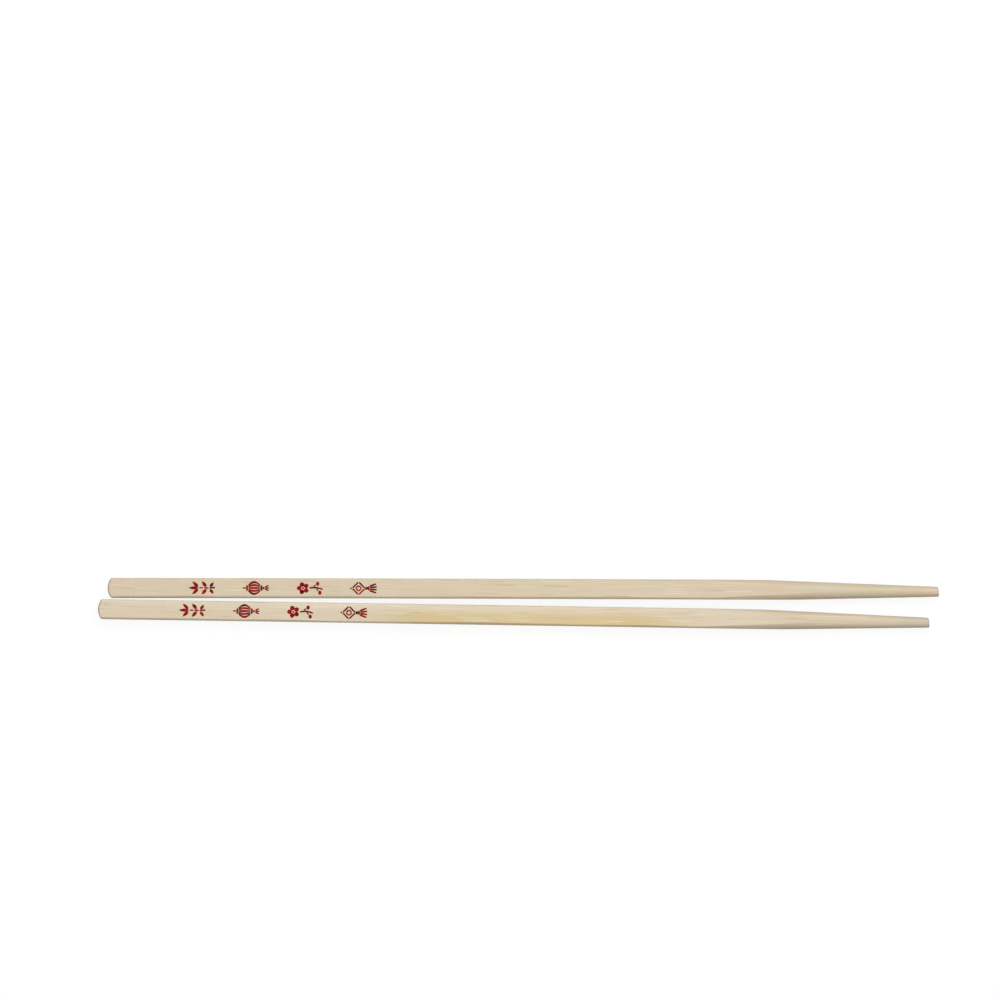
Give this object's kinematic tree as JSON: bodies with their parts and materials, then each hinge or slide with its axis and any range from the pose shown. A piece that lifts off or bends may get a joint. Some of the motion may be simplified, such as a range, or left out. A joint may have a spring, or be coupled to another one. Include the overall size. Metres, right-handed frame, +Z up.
{
  "type": "pair of bamboo chopsticks",
  "caption": "Pair of bamboo chopsticks lying side by side: planed rectangular bodies with crowned butts and slim round turned tips, for picking up food.",
  "frame": {"origin": "on the table, in the middle of the pair's footprint", "axes": "+X from the butts to the tips, +Y to the rear chopstick, +Z up"},
  "size_m": [0.2427, 0.0142, 0.0049],
  "materials": {
    "bamboo": "planed and sanded, unvarnished"
  },
  "bodies": {
    "root": {"rear_chopstick": "bamboo", "front_chopstick": "bamboo"}
  },
  "joints": []
}
